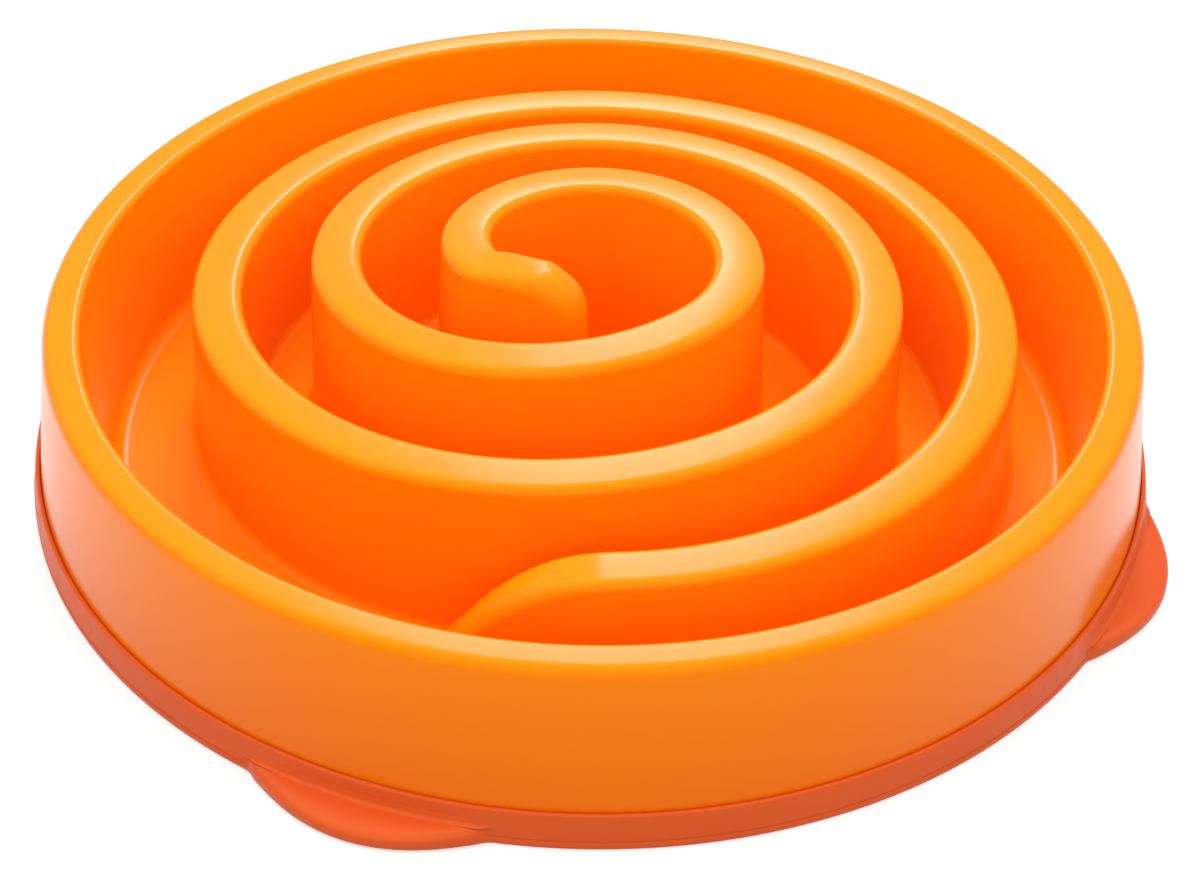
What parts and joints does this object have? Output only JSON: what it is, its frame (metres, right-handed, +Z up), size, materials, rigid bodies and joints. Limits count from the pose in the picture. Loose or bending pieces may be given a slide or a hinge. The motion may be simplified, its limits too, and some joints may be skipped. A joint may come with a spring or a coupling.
{
  "type": "slow feeder bowl",
  "caption": "Round pet bowl with a tall spiral ridge that slows eating, standing in a rubber non-slip ring with lifting tabs.",
  "frame": {"origin": "on the table under the middle of the bowl", "axes": "+Z up out of the bowl, +X to the right and +Y away from the viewer as pictured"},
  "size_m": [0.3044, 0.3084, 0.0671],
  "materials": {
    "bowl_shell": "glossy moulded",
    "base_ring": "satin"
  },
  "bodies": {
    "root": {"bowl_shell": "bowl_shell", "base_ring": "base_ring"}
  },
  "joints": []
}
